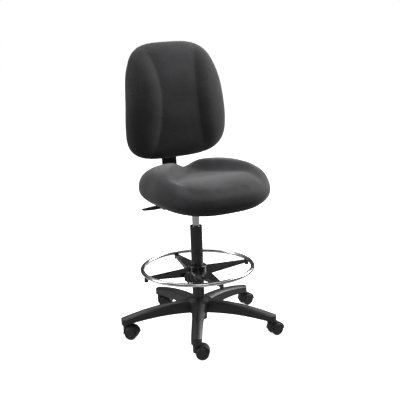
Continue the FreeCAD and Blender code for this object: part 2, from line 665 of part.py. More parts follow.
def lever_grip():
    """Moulded paddle pushed onto the lever's end, thick over the bar and thin at its tip."""
    plan = [(-148, -7), (-176, -9), (LEVER_TIP_X, -10), (LEVER_TIP_X, 10), (-176, 9), (-148, 7)]
    paddle = prism(plan, -10, 10)
    upright = [edge for edge in paddle.Edges if abs(edge.tangentAt(edge.FirstParameter).z) > 0.9]
    paddle = paddle.makeFillet(5.0, upright)
    side = [(-140, -6), (LEVER_BAR_END_X - 4, -5.5), (LEVER_TIP_X - 1, -2), (LEVER_TIP_X - 1, 2),
            (LEVER_BAR_END_X - 4, 5.5), (-140, 6)]
    wire = Part.makePolygon([Vector(x, -20, z) for x, z in side + side[:1]])
    paddle = paddle.common(Part.Face(wire).extrude(Vector(0, 40, 0)))
    return moved(paddle, 0, 0, LEVER_GRIP_Z).cut(lever_neck(-120))


# ---------------------------------------------------------------- back
TILT_CENTRE = Vector(0, BAR_CENTRE_Y, BAR_Z + BAR_T + BAR_BEND_R)
BAR_FACE_Y = BAR_CENTRE_Y - BAR_T / 2
BACK_CENTRE_Z = BACK_BOTTOM + BACK_H / 2
BACK_TOP = BACK_BOTTOM + BACK_H
BOARD_REAR = BACK_FOAM_REAR - 0.5
SHELL_FRONT = BACK_FOAM_REAR
SHELL_REAR = SHELL_FRONT + SHELL_DEPTH
BRACKET_TOP = BRACKET_BOTTOM + BRACKET_H
BACK_BOLTS = [(sx * 26.0, z) for sx in (-1, 1) for z in (BRACKET_BOTTOM + 14, BRACKET_TOP - 14)]
HEIGHT_KNOB_Z = BRACKET_BOTTOM + BRACKET_H / 2


def back_level(z):
    """Height on the back as -1 at its bottom edge, 1 at its top edge."""
    return (z - BACK_CENTRE_Z) / (BACK_H / 2)


def back_line(z):
    """Rearward place of the back's middle surface, which is furthest forward at the lumbar point."""
    level = back_level(z)
    rise = max(0.0, level + 0.3) / 1.3
    drop = max(0.0, -0.35 - level) / 0.65
    return BACK_LINE_Y + BACK_SWEEP_UP * rise ** 2 + BACK_SWEEP_DOWN * drop ** 2


def back_half_width(z):
    return BACK_W / 2 * (1.0 - BACK_TAPER * (back_level(z) + 0.45))


def back_prism(inset, front=0.0, rear=260.0):
    """The back's outline seen from the front, drawn in by inset and run from front to rear."""
    points = []
    for u, v in superellipse(1.0, 1.0, BACK_POWER, 40):
        z = BACK_CENTRE_Z + v * (BACK_H / 2 - inset)
        points.append(Vector(u * (back_half_width(z) - inset), front, z))
    return Part.Face(smooth_wire(points)).extrude(Vector(0, rear - front, 0))


def back_sheet(front, rear):
    """Slab that follows the back's middle surface, between two distances behind it."""
    levels = [BACK_BOTTOM - 10 + step * (BACK_H + 20) / 16 for step in range(17)]
    near = Part.BSplineCurve()
    near.interpolate([Vector(-BACK_W, back_line(z) + front, z) for z in levels])
    far = Part.BSplineCurve()
    far.interpolate([Vector(-BACK_W, back_line(z) + rear, z) for z in levels])
    low = Part.LineSegment(near.StartPoint, far.StartPoint)
    high = Part.LineSegment(near.EndPoint, far.EndPoint)
    wire = Part.Wire(Part.sortEdges([edge.toShape() for edge in (near, low, far, high)])[0])
    return Part.Face(wire).extrude(Vector(2 * BACK_W, 0, 0))


def leaned(shape):
    """Tip a back piece, built upright, to the recline of the bar."""
    return turned(shape, -RECLINE, TILT_CENTRE, X_AXIS)


def back_upright():
    """Flat steel bar bent to an L: level run in the mechanism, leaning run behind the back."""
    outer_r = BAR_BEND_R + BAR_T
    half = BAR_W / 2
    centre_y = BAR_FACE_Y - BAR_BEND_R
    level = block(-half, half, BAR_FRONT, centre_y, BAR_Z, BAR_Z + BAR_T)
    bend = cross_rod(outer_r, Vector(-half, centre_y, TILT_CENTRE.z), BAR_W, X_AXIS)
    bend = bend.cut(cross_rod(BAR_BEND_R, Vector(-half - 1, centre_y, TILT_CENTRE.z), BAR_W + 2, X_AXIS))
    bend = bend.common(block(-half, half, centre_y, centre_y + outer_r + 1, BAR_Z - 1, TILT_CENTRE.z))
    upright = leaned(block(-half, half, BAR_FACE_Y, BAR_FACE_Y + BAR_T, TILT_CENTRE.z - 1, BAR_TOP))
    return joined([level, bend, upright])


def back_holes(radius):
    """Cutters for the bracket's bolts, square to the bar."""
    return [leaned(cross_rod(radius, Vector(x, 80, z), 120, Y_AXIS)) for x, z in BACK_BOLTS]


def back_board():
    board = back_sheet(BOARD_REAR - BACK_BOARD_T, BOARD_REAR).common(back_prism(BACK_BOARD_INSET))
    return board.cut(back_holes(M6_R))


def back_cushion():
    """Foam and cover as one closed block that follows the back's curve, hollowed behind for the board."""
    sections = []
    depth = BACK_FOAM_FRONT + BACK_FOAM_REAR + 6
    for level in (-0.985, -0.93, -0.8, -0.5, -0.1, 0.3, 0.65, 0.85, 0.95, 0.985):
        z = BACK_CENTRE_Z + level * BACK_H / 2
        half_w = back_half_width(z) * (1 - abs(level) ** BACK_POWER) ** (1 / BACK_POWER)
        half_d = depth / 2 * (1 - abs(level) ** 6) ** 0.45
        centre_y = back_line(z) + (BACK_FOAM_REAR + 6 - BACK_FOAM_FRONT) / 2
        sections.append(flat_outline(half_w, half_d, 2.9, centre_y, z))
    body = Part.makeLoft(sections, True)
    room = back_sheet(BOARD_REAR - BACK_BOARD_T - 2.5, 90).common(back_prism(BACK_BOARD_INSET - SOFT_CLEAR))
    return body.cut([room, back_sheet(BACK_FOAM_REAR - 0.3, 90)])


def back_shell():
    """Moulded rear cover with a flat pad for the bracket."""
    outer = back_sheet(SHELL_FRONT, SHELL_REAR).common(back_prism(SHELL_INSET))
    inner = back_sheet(SHELL_FRONT - 1, SHELL_REAR - SHELL_T).common(back_prism(SHELL_INSET + SHELL_T))
    pad_half = BAR_W / 2 + BRACKET_SIDE
    pad = leaned(block(-pad_half, pad_half, 110, SHELL_PAD_Y, BRACKET_BOTTOM + 2, BRACKET_TOP - 2))
    pad = pad.cut(back_sheet(-90, SHELL_FRONT))
    return outer.cut(inner).fuse(pad).removeSplitter().cut(back_holes(M6_R + 0.3))


def back_bracket():
    """Steel channel on the back that slides on the bar."""
    half = BAR_W / 2 + BRACKET_SIDE
    flange = block(-half, half, SHELL_PAD_Y, SHELL_PAD_Y + BRACKET_WALL, BRACKET_BOTTOM, BRACKET_TOP)
    slot_half = BAR_W / 2 + SLIDE_FIT
    front = BAR_FACE_Y - SLIDE_FIT - BRACKET_WALL
    rear = BAR_FACE_Y + BAR_T + SLIDE_FIT + BRACKET_WALL
    case = block(-half, half, front, rear, BRACKET_BOTTOM, BRACKET_TOP)
    slot = block(-slot_half, slot_half, front + BRACKET_WALL, rear - BRACKET_WALL,
                 BRACKET_BOTTOM - 1, BRACKET_TOP + 1)
    sides = []
    for side in (-1, 1):
        x = side * 14.0
        sides.append(block(x - 2, x + 2, SHELL_PAD_Y, front + 1, BRACKET_BOTTOM, BRACKET_TOP))
    boss = cross_rod(11.0, Vector(0, rear - 1, HEIGHT_KNOB_Z), 7, Y_AXIS)
    thread = cross_rod(M8_R + RUNNING_FIT, Vector(0, rear - BRACKET_WALL - 0.5, HEIGHT_KNOB_Z), 20, Y_AXIS)
    holes = [cross_rod(M6_R + 0.3, Vector(x, SHELL_PAD_Y - 5, z), 20, Y_AXIS) for x, z in BACK_BOLTS]
    body = joined([flange, case, boss] + sides)
    return leaned(body.cut([slot, thread] + holes))


def back_bolts():
    bolts = []
    slope = math.tan(math.radians(RECLINE))
    for x, z in BACK_BOLTS:
        seat_y = SHELL_PAD_Y + BRACKET_WALL
        head = aim(hexagon(HEX_ACROSS, 0, HEX_H), Vector(x, seat_y, z), Y_AXIS)
        start = back_line(z) + BOARD_REAR - BACK_BOARD_T + 3 - slope * (z - TILT_CENTRE.z)
        shank = cross_rod(M6_R, Vector(x, start, z), seat_y + 1 - start, Y_AXIS)
        bolts.append(leaned(head.fuse(shank).removeSplitter()))
    return Part.makeCompound(bolts)


def add_back_knobs():
    rear = BAR_FACE_Y + BAR_T + SLIDE_FIT + BRACKET_WALL + 6
    stud_start = BAR_FACE_Y + BAR_T + 0.05
    stud = cross_rod(M8_R, Vector(0, stud_start, HEIGHT_KNOB_Z), rear + 12 - stud_start, Y_AXIS)
    knob = aim(star_knob(KNOB_R, 0, KNOB_H), Vector(0, rear + 0.5, HEIGHT_KNOB_Z), Y_AXIS)
    nodes["height_clamp_stud"] = leaned(stud)
    nodes["height_knob"] = leaned(knob.cut(stud))
    low = BOX_BOTTOM - 4.5
    nodes["depth_clamp_stud"] = rod(M8_R, low - 12, BAR_Z - 0.05, 0, DEPTH_KNOB_Y)
    knob = star_knob(KNOB_R, low - KNOB_H, low)
    nodes["depth_knob"] = moved(knob, 0, DEPTH_KNOB_Y).cut(nodes["depth_clamp_stud"])


# ---------------------------------------------------------------- build and export
def build():
    nodes["base_spider"] = base_spider()
    add_casters()
    nodes["column_tube"] = column_tube()
    nodes["guide_bush"] = guide_bush()
    nodes["thrust_bearing"] = thrust_bearing()
    nodes["piston_rod"] = piston_rod()
    nodes["rod_piston"] = rod_piston()
    nodes["rod_end_clip"] = rod_end_clip()
    nodes["rubber_bumper"] = rubber_bumper()
    nodes["gas_cylinder"] = gas_cylinder()
    nodes["cylinder_seal"] = cylinder_seal()
    nodes["valve_pin"] = valve_pin()
    nodes["foot_ring"] = foot_ring()
    nodes["foot_ring_spider"] = foot_ring_spider()
    nodes["foot_ring_bush"] = foot_ring_bush()
    nodes["foot_ring_screws"] = foot_ring_screws()
    add_ring_knob()
    nodes["seat_board"] = seat_board()
    nodes["seat_tee_nuts"] = seat_tee_nuts()
    nodes["seat_cushion"] = seat_cushion()
    nodes["seat_mechanism"] = seat_mechanism()
    nodes["mechanism_bolts"] = mechanism_bolts()
    nodes["release_lever"] = release_lever()
    nodes["lever_pivot_pin"] = lever_pivot_pin()
    nodes["lever_grip"] = lever_grip()
    nodes["back_upright"] = back_upright()
    nodes["back_board"] = back_board()
    nodes["back_cushion"] = back_cushion()
    nodes["back_shell"] = back_shell()
    nodes["back_bracket"] = back_bracket()
    nodes["back_bolts"] = back_bolts()
    add_back_knobs()


build()
os.makedirs("parts", exist_ok=True)
for node_name, node_shape in nodes.items():
    print("%-22s solids %2d  volume %9.0f  valid %s" % (
        node_name, len(node_shape.Solids), node_shape.Volume, node_shape.isValid()))
    node_shape.exportStep("parts/%s.step" % node_name)
print(len(nodes), "nodes")
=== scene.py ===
# %% [markdown]
# # A drafting chair, step by step
# The chair has a soft seat and back on a hard frame: a gas lift in a fluted column, a foot ring for high
# work, and five moulded arms on casters. The hard parts come ready made from the CAD frame, so this lesson
# gives them finishes, and makes the soft parts, which CAD holds only as plain blocks.

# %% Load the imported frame
import json
import math

import bmesh
import bpy
import numpy as np
from mathutils import Matrix, Vector


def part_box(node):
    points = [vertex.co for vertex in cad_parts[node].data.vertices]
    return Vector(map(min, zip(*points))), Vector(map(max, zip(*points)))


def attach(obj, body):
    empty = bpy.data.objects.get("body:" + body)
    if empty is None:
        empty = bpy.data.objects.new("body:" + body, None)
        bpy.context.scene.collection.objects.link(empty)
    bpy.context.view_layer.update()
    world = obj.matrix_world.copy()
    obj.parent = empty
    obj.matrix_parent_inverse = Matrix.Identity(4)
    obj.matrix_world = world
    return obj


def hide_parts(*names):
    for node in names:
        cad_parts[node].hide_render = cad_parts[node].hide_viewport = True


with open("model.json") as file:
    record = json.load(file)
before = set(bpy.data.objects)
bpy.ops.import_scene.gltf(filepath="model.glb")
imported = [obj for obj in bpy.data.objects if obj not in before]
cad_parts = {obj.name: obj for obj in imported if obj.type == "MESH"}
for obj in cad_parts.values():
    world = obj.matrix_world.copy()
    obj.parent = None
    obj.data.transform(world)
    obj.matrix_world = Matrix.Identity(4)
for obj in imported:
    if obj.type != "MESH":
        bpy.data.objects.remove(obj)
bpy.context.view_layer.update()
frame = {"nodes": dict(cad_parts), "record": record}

SEED = 11
MM = 0.001

# %% [markdown]
# ## Small helpers for finishes
# Every real surface varies: moulded plastic has a grain, paint has a faint orange peel, chrome has smudges.
# A finish here is a Principled shader whose colour, roughness and bump are driven by noise at the real size
# of that detail. The noise reads Object coordinates, which are metres on the chair, so a grain of 0.5 mm is
# written as 0.0005 and it travels with the part when the chair moves.

# %% Helpers that build a finish
def start_finish(name, colour, roughness, metallic=0.0, **sockets):
    """A new material with its even values set on the shader's own sockets."""
    material = bpy.data.materials.new(name)
    material.use_nodes = True
    shader = material.node_tree.nodes["Principled BSDF"]
    shader.inputs["Base Color"].default_value = (*colour, 1.0)
    shader.inputs["Roughness"].default_value = roughness
    shader.inputs["Metallic"].default_value = metallic
    for label, value in sockets.items():
        shader.inputs[label.replace("_", " ")].default_value = value
    material.diffuse_color = (*colour, 1.0)
    return material


def add_node(tree, kind, settings=None, **inputs):
    node = tree.nodes.new(kind)
    for label, value in (settings or {}).items():
        setattr(node, label, value)
    for label, value in inputs.items():
        socket = node.inputs[label.replace("_", " ")]
        if isinstance(value, bpy.types.NodeSocket):
            tree.links.new(value, socket)
        else:
            socket.default_value = value
    return node


def place(tree):
    """The point on the part, in metres."""
    return add_node(tree, "ShaderNodeTexCoord").outputs["Object"]


def grain(tree, size, detail=2.0, stretch=(1.0, 1.0, 1.0)):
    """Noise with lumps about size metres across, longer where stretch is above one."""
    scale = [1.0 / (size * s) for s in stretch]
    mapping = add_node(tree, "ShaderNodeMapping", Vector=place(tree), Scale=scale)
    noise = add_node(tree, "ShaderNodeTexNoise", Vector=mapping.outputs[0], Scale=1.0, Detail=detail)
    return noise.outputs[0]


def between(tree, value, low, high, start=0.3, stop=0.7):
    """Carries noise, which mostly lies from start to stop, over to low..high."""
    spread = add_node(tree, "ShaderNodeMapRange", Value=value, From_Min=start, From_Max=stop)
    spread.inputs["To Min"].default_value = low
    spread.inputs["To Max"].default_value = high
    return spread.outputs[0]


def shades(tree, value, *stops):
    """Colours along a ramp, as (place, colour) pairs."""
    ramp = add_node(tree, "ShaderNodeValToRGB", Fac=value)
    elements = ramp.color_ramp.elements
    while len(elements) < len(stops):
        elements.new(0.5)
    for element, (position, colour) in zip(elements, stops):
        element.position = position
        element.color = (*colour, 1.0)
    return ramp.outputs[0]


def sums(tree, operation, first, second):
    node = add_node(tree, "ShaderNodeMath", {"operation": operation})
    for socket, value in zip(node.inputs, (first, second)):
        if isinstance(value, bpy.types.NodeSocket):
            tree.links.new(value, socket)
        else:
            socket.default_value = value
    return node.outputs[0]


def wire_up(material, colour=None, roughness=None, height=None, depth=0.0001, strength=1.0):
    """Joins the varying colour, roughness and relief to the shader. depth is the relief's, in metres."""
    tree = material.node_tree
    shader = tree.nodes["Principled BSDF"]
    if colour is not None:
        tree.links.new(colour, shader.inputs["Base Color"])
    if roughness is not None:
        tree.links.new(roughness, shader.inputs["Roughness"])
    if height is not None:
        bump = add_node(tree, "ShaderNodeBump", Height=height, Distance=depth, Strength=strength)
        tree.links.new(bump.outputs[0], shader.inputs["Normal"])
    return material


def grey(level, blue=0.0):
    return (level, level, level + blue)


print("finish helpers ready")

# %% [markdown]
# ## Moulded plastics
# The base and the caster hoods are glass-filled nylon, which comes out of the mould with a fine
# spark-eroded grain and a dull sheen. Shoes scuff the upper faces of the arms near their ends, so a second,
# coarser noise lightens the colour there. The mask is the distance from the column, made from the same
# Object coordinates.

# %% Nylon for the base and hoods
def nylon_finish():
    material = start_finish("moulded_nylon", grey(0.016), 0.42, Coat_Weight=0.06, Coat_Roughness=0.35)
    tree = material.node_tree
    distance = add_node(tree, "ShaderNodeVectorMath", {"operation": "MULTIPLY"}).outputs[0]
    tree.links.new(place(tree), distance.node.inputs[0])
    distance.node.inputs[1].default_value = (1.0, 1.0, 0.0)
    outward = add_node(tree, "ShaderNodeVectorMath", {"operation": "LENGTH"})
    tree.links.new(distance, outward.inputs[0])
    toes = between(tree, outward.outputs["Value"], 0.0, 1.0, 0.14, 0.30)
    scuffs = between(tree, grain(tree, 0.009, 5.0, (1.0, 1.0, 2.0)), 0.0, 1.0, 0.56, 0.74)
    worn = sums(tree, "MULTIPLY", scuffs, toes)
    colour = shades(tree, worn, (0.0, grey(0.014)), (0.5, grey(0.024, 0.001)), (1.0, grey(0.05, 0.001)))
    roughness = between(tree, grain(tree, 0.03, 3.0), 0.34, 0.47)
    return wire_up(material, colour, roughness, grain(tree, 0.0006, 1.0), 0.00006, 0.5)


def wheel_finish():
    material = start_finish("wheel_nylon", grey(0.014), 0.40, Coat_Weight=0.05, Coat_Roughness=0.3)
    tree = material.node_tree
    dust = between(tree, grain(tree, 0.006, 6.0), 0.0, 1.0, 0.52, 0.75)
    colour = shades(tree, dust, (0.0, grey(0.012)), (1.0, grey(0.042, 0.0)))
    roughness = between(tree, grain(tree, 0.008, 4.0), 0.30, 0.52)
    return wire_up(material, colour, roughness, grain(tree, 0.0008, 2.0), 0.00005, 0.4)


def grained_finish():
    """Small mouldings: knobs, the rear cover, the lever's paddle."""
    material = start_finish("grained_plastic", grey(0.017), 0.5)
    tree = material.node_tree
    cells = add_node(tree, "ShaderNodeTexVoronoi", Vector=place(tree), Scale=900.0).outputs["Distance"]
    colour = shades(tree, grain(tree, 0.05, 4.0), (0.3, grey(0.013)), (0.7, grey(0.021)))
    roughness = between(tree, grain(tree, 0.02, 3.0), 0.56, 0.66)
    return wire_up(material, colour, roughness, cells, 0.00009, 0.6)


def rubber_finish():
    material = start_finish("rubber", grey(0.015), 0.75)
    tree = material.node_tree
    colour = shades(tree, grain(tree, 0.004, 4.0), (0.3, grey(0.012)), (0.7, grey(0.022)))
    roughness = between(tree, grain(tree, 0.01, 2.0), 0.65, 0.85)
    return wire_up(material, colour, roughness, grain(tree, 0.0004, 1.0), 0.00005, 0.4)


FINISH = {
    "nylon_black": nylon_finish(),
    "wheel_black": wheel_finish(),
    "moulded_black": grained_finish(),
    "rubber_black": rubber_finish(),
}
print("plastics:", sorted(FINISH))

# %% [markdown]
# ## Metals
# The foot ring and the gas cylinder are chrome plated: nearly a mirror, with finger smudges that only show
# as a change in roughness. Screws and pins are ground or zinc plated, duller and mottled. The column, the
# plate under the seat and the back bar are powder coated, a thin plastic skin with a soft orange-peel
# relief.

# %% Chrome, steel and powder coat
def chrome_finish():
    material = start_finish("chrome_plate", grey(0.68, 0.01), 0.08, 1.0)
    tree = material.node_tree
    colour = shades(tree, grain(tree, 0.06, 2.0), (0.3, grey(0.62, 0.008)), (0.7, grey(0.72, 0.01)))
    roughness = between(tree, grain(tree, 0.018, 5.0), 0.15, 0.24, 0.42, 0.72)
    return wire_up(material, colour, roughness, grain(tree, 0.03, 1.0), 0.00002, 0.12)


def steel_finish(name, light, dark, low, high, stretch):
    """Bare or plated steel, with marks drawn out the way it was ground."""
    material = start_finish(name, light, low, 1.0)
    tree = material.node_tree
    marks = grain(tree, 0.0007, 3.0, stretch)
    colour = shades(tree, grain(tree, 0.004, 4.0), (0.3, dark), (0.7, light))
    roughness = between(tree, marks, low, high)
    return wire_up(material, colour, roughness, marks, 0.00002, 0.4)


def powder_finish():
    material = start_finish("powder_coat", grey(0.013), 0.34, Coat_Weight=0.3, Coat_Roughness=0.16)
    tree = material.node_tree
    rubbed = between(tree, grain(tree, 0.014, 6.0, (1.0, 1.0, 3.0)), 0.0, 1.0, 0.60, 0.78)
    colour = shades(tree, rubbed, (0.0, grey(0.008)), (1.0, grey(0.022)))
    roughness = between(tree, grain(tree, 0.02, 3.0), 0.17, 0.28)
    return wire_up(material, colour, roughness, grain(tree, 0.0016, 1.0), 0.00006, 0.5)


FINISH.update({
    "chrome": chrome_finish(),
    "bright_steel": steel_finish(
        "ground_steel", grey(0.58, 0.01), grey(0.42, 0.01), 0.18, 0.34, (1.0, 1.0, 12.0)),
    "zinc_steel": steel_finish(
        "zinc_plate", grey(0.52, 0.02), (0.40, 0.39, 0.36), 0.26, 0.46, (1.0, 1.0, 1.0)),
    "red_valve": steel_finish("valve_steel", grey(0.5), grey(0.38), 0.2, 0.35, (1.0, 1.0, 6.0)),
    "painted_black": powder_finish(),
})
print("finishes so far:", sorted(FINISH))

# %% [markdown]
# ## Plywood
# The boards inside the cushions are moulded birch ply. On its face the figure is long and wavy, so a noise
# drawn out along one direction is mixed with a second, finer one. Thin darker lines are the pores.

# %% Plywood for the boards
def plywood_finish():
    material = start_finish("birch_ply", (0.50, 0.34, 0.18), 0.6)
    tree = material.node_tree
    figure = grain(tree, 0.014, 3.0, (1.0, 14.0, 14.0))
    pores = grain(tree, 0.0009, 2.0, (1.0, 20.0, 20.0))
    mixed = sums(tree, "ADD", sums(tree, "MULTIPLY", figure, 0.75), sums(tree, "MULTIPLY", pores, 0.25))
    dark, mid, light = (0.30, 0.18, 0.085), (0.47, 0.31, 0.16), (0.60, 0.43, 0.25)
    colour = shades(tree, mixed, (0.34, dark), (0.5, mid), (0.66, light))
    return wire_up(material, colour, between(tree, pores, 0.5, 0.72), pores, 0.0001, 0.5)


FINISH["plywood"] = plywood_finish()
print("wood:", FINISH["plywood"].name)

# %% [markdown]
# ## Charcoal upholstery
# The cover is a plain woven cloth in two near-black yarns. Three things make it read as cloth: the weave's
# relief, yarns that differ a little in shade, and sheen, the pale bloom that loose fibres give at a
# glancing angle. The weave is two crossed sine waves. The cloth turns round the cushion, so the pattern is
# made in three flat directions and each part of the surface takes the one that it faces, by the object's
# own normals.

# %% Woven cloth
YARN = 1.3 * MM


def crossed(tree, first, second):
    """Lumps of a plain weave from two lengths along the cloth."""
    waves = []
    for length in (first, second):
        waves.append(sums(tree, "SINE", sums(tree, "MULTIPLY", length, math.pi / YARN), 0.0))
    return sums(tree, "MULTIPLY", waves[0], waves[1])


def weave(tree):
    point = add_node(tree, "ShaderNodeSeparateXYZ", Vector=place(tree)).outputs
    facing = add_node(tree, "ShaderNodeTexCoord").outputs["Normal"]
    side = add_node(tree, "ShaderNodeSeparateXYZ", Vector=facing).outputs
    total = None
    for across, along, square in ((0, 1, 2), (0, 2, 1), (1, 2, 0)):
        share = sums(tree, "MULTIPLY", side[square], side[square])
        part = sums(tree, "MULTIPLY", crossed(tree, point[across], point[along]), share)
        total = part if total is None else sums(tree, "ADD", total, part)
    return total


def cloth_finish(name, dark, mid, light):
    material = start_finish(name, mid, 0.82, Sheen_Weight=0.34, Sheen_Roughness=0.34)
    material.node_tree.nodes["Principled BSDF"].inputs["Specular IOR Level"].default_value = 0.25
    tree = material.node_tree
    lumps = between(tree, weave(tree), 0.0, 1.0, -1.0, 1.0)
    yarns = grain(tree, 0.0026, 3.0)
    faded = grain(tree, 0.11, 2.0)
    mixed = sums(tree, "ADD", sums(tree, "MULTIPLY", lumps, 0.18), sums(tree, "MULTIPLY", yarns, 0.50))
    mixed = sums(tree, "ADD", mixed, sums(tree, "MULTIPLY", faded, 0.32))
    colour = shades(tree, mixed, (0.40, dark), (0.5, mid), (0.62, light))
    roughness = between(tree, yarns, 0.74, 0.92)
    return wire_up(material, colour, roughness, lumps, 0.00035, 0.6)


cover_cloth = cloth_finish("charcoal_cloth", grey(0.022, 0.001), grey(0.036, 0.002), grey(0.056, 0.004))
# The hem is the cover's own cloth made darker: painted shade for the underside of the seat.
hem_cloth_painted_shade = cloth_finish("hem_cloth_painted_shade", grey(0.016), grey(0.026), grey(0.040))
print("cloth:", cover_cloth.name, hem_cloth_painted_shade.name)

# %% [markdown]
# ## Put the finishes on the ready-made parts
# The frame's record says which finish each part has, by slot, so one loop dresses them all. Only the
# material slots change: the shapes stay exactly as the CAD made them.

# %% Dress the CAD parts
FINISH["charcoal_fabric"] = cover_cloth


def dress(part, material):
    part.data.materials.clear()
    part.data.materials.append(material)


for entry in frame["record"]["subparts"]:
    dress(frame["nodes"][entry["node"]], FINISH[entry["material_slot"]])

# %% [markdown]
# ## Mesh helpers
# The soft parts start as grids of rings: ring 0 is one point in the middle of the cushion and the last ring
# is its rim. A face skin and a rear skin share the rim, which makes a closed skin with no border.

# %% Mesh helpers
def new_piece(name, points, faces, material, smooth=True):
    mesh = bpy.data.meshes.new(name)
    mesh.from_pydata([tuple(p) for p in points], [], faces)
    work = bmesh.new()
    work.from_mesh(mesh)
    bmesh.ops.remove_doubles(work, verts=work.verts, dist=1e-6)
    bmesh.ops.recalc_face_normals(work, faces=work.faces)
    work.to_mesh(mesh)
    work.free()
    mesh.polygons.foreach_set("use_smooth", [smooth] * len(mesh.polygons))
    piece = bpy.data.objects.new(name, mesh)
    bpy.context.scene.collection.objects.link(piece)
    dress(piece, material)
    return piece


def ring_faces(rings, around, first=0):
    """Quads between neighbouring rings of points."""
    faces = []
    for r in range(rings - 1):
        for t in range(around):
            a = first + r * around + t
            b = first + r * around + (t + 1) % around
            faces.append((a, b, b + around, a + around))
    return faces


def closed_skin(name, front, rear, material):
    """Joins a front and a rear grid of rings, which meet at their last ring."""
    rings, around = front.shape[:2]
    points = np.concatenate([front.reshape(-1, 3), rear[::-1].reshape(-1, 3)])
    return new_piece(name, points, ring_faces(2 * rings, around), material)


def ease(start, stop, value):
    t = np.clip((value - start) / (stop - start), 0.0, 1.0)
    return t * t * (3.0 - 2.0 * t)


def signed_power(value, power):
    return np.sign(value) * np.abs(value) ** power


def squarish_rings(power, around=140, rings=34):
    """Unit grid whose outline is between a circle and a square. Its rings crowd towards the rim."""
    theta = np.linspace(0.0, 2.0 * math.pi, around, endpoint=False)
    radius = np.sin(np.linspace(0.0, 1.0, rings) * math.pi / 2)[:, None]
    u = radius * signed_power(np.cos(theta), 2.0 / power)
    v = radius * signed_power(np.sin(theta), 2.0 / power)
    return u, v, np.repeat(radius, around, axis=1)


print("mesh helpers ready")

# %% [markdown]
# ## Soft parts by simulation
# Foam under a tight cover is never a perfect surface. The shape is remeshed into even squares and blown up
# with the cloth solver, with no gravity, while the edges and the sewn channels are held. Every point is
# then kept within a few millimetres of where it began. Moulded foam fills a cover out well, so the creases
# are eased, and one subdivision smooths the result.

# %% Remesh, blow up and smooth
VOXEL = 5.0 * MM
FRAMES = 20


def swap_mesh(piece, mesh):
    old = piece.data
    piece.data = mesh
    bpy.data.meshes.remove(old)


def bake_modifiers(piece):
    """Turns the piece and its modifiers into one plain mesh."""
    graph = bpy.context.evaluated_depsgraph_get()
    mesh = bpy.data.meshes.new_from_object(piece.evaluated_get(graph))
    piece.modifiers.clear()
    swap_mesh(piece, mesh)


def points_of(mesh):
    flat = np.zeros(len(mesh.vertices) * 3)
    mesh.vertices.foreach_get("co", flat)
    return flat.reshape(-1, 3)


def even_squares(piece):
    remesh = piece.modifiers.new("squares", "REMESH")
    remesh.mode = "VOXEL"
    remesh.voxel_size = VOXEL
    remesh.use_smooth_shade = True
    bake_modifiers(piece)


def blow_up(piece, held, pressure, cap):
    """Cloth under pressure. held is 1 where the cover is fixed, and cap is the furthest a point may go."""
    rest = points_of(piece.data)
    group = piece.vertex_groups.new(name="held")
    for index in np.nonzero(held > 0.02)[0]:
        group.add([int(index)], float(held[index]), "REPLACE")
    cloth = piece.modifiers.new("cover", "CLOTH")
    cloth.settings.use_pressure = True
    cloth.settings.uniform_pressure_force = pressure
    cloth.settings.effector_weights.gravity = 0.0
    cloth.settings.vertex_group_mass = group.name
    cloth.point_cache.frame_start = 1
    cloth.point_cache.frame_end = FRAMES
    for number in range(1, FRAMES + 1):
        bpy.context.scene.frame_set(number)
    graph = bpy.context.evaluated_depsgraph_get()
    blown = points_of(piece.evaluated_get(graph).data)
    piece.modifiers.remove(cloth)
    piece.vertex_groups.clear()
    bpy.context.scene.frame_set(1)
    move = blown - rest
    length = np.linalg.norm(move, axis=1, keepdims=True)
    move *= np.minimum(1.0, cap / np.maximum(length, 1e-9))
    piece.data.vertices.foreach_set("co", (rest + move).ravel())
    swelled = round(float(length.max()) / MM, 1)
    print(piece.name, "swelled by up to", swelled, "mm, kept within", round(cap / MM, 1))


def smooth_once(piece, relaxed):
    """Eases the creases a given number of times, then subdivides once."""
    relax = piece.modifiers.new("relax", "SMOOTH")
    relax.factor = 0.5
    relax.iterations = relaxed
    subdivision = piece.modifiers.new("smooth", "SUBSURF")
    subdivision.levels = 1
    subdivision.render_levels = 1
    bake_modifiers(piece)
    piece.data.polygons.foreach_set("use_smooth", [True] * len(piece.data.polygons))


print("simulation helpers ready")

# %% [markdown]
# ## The back's curve
# Seen from the side, the back is furthest forward at the small of the sitter's back and swings rearward
# above and below it. Seen from the front it narrows a little towards the top. The front has a sunken panel
# between two side bolsters, narrowest at the waist. Each of these is one line of arithmetic in the height
# and the width. Behind, the cover is pulled square round the edge of the board.

# %% Sizes of the back
BACK_MIDDLE = 900.0 * MM
BACK_HALF_HEIGHT = 224.4 * MM
BACK_HALF_WIDTH = 222.8 * MM
BACK_OUTLINE = 3.5
SHELL_FRONT = 23.0 * MM
PANEL_DEPTH = 15.0 * MM
BOLSTER_SLOPE = 62.0 * MM
FOAM_DEPTH = 48.0 * MM
SIDE_SWEEP = 7.15 * MM


def back_taper(level):
    return np.interp(level, [-1.0, -0.45, 0.2, 0.6, 1.0], [1.09, 1.0, 0.94, 0.89, 0.88])


def flowing(level, places, values):
    """A smooth curve through the values, by a polynomial of one degree less than their number."""
    return np.polyval(np.polyfit(places, values, len(places) - 1), level)


def back_centre(level):
    """Rearward place of the cover's rim, at a level from -1, the bottom, to 1, the top."""
    swing = 42.9 * np.clip(level + 0.3, 0.0, None) ** 2 + 41.8 * np.clip(-0.35 - level, 0.0, None) ** 2
    return (115.4 - 5.7 * (level + 1.0) + swing) * MM


def shell_line(level):
    """Rearward place of the board's own curve, from the same rule as the moulded cover behind it."""
    rise = np.clip(level + 0.3, 0.0, None) / 1.3
    drop = np.clip(-0.35 - level, 0.0, None) / 0.65
    return (112.0 + 54.0 * rise ** 2 + 18.0 * drop ** 2) * MM


def panel_half_width(level):
    """The panel's edge bows inwards: widest at the bottom, narrowest at the waist."""
    return flowing(level, (-0.9, -0.1, 0.35, 0.9), (112.0, 80.0, 80.0, 106.0)) * MM


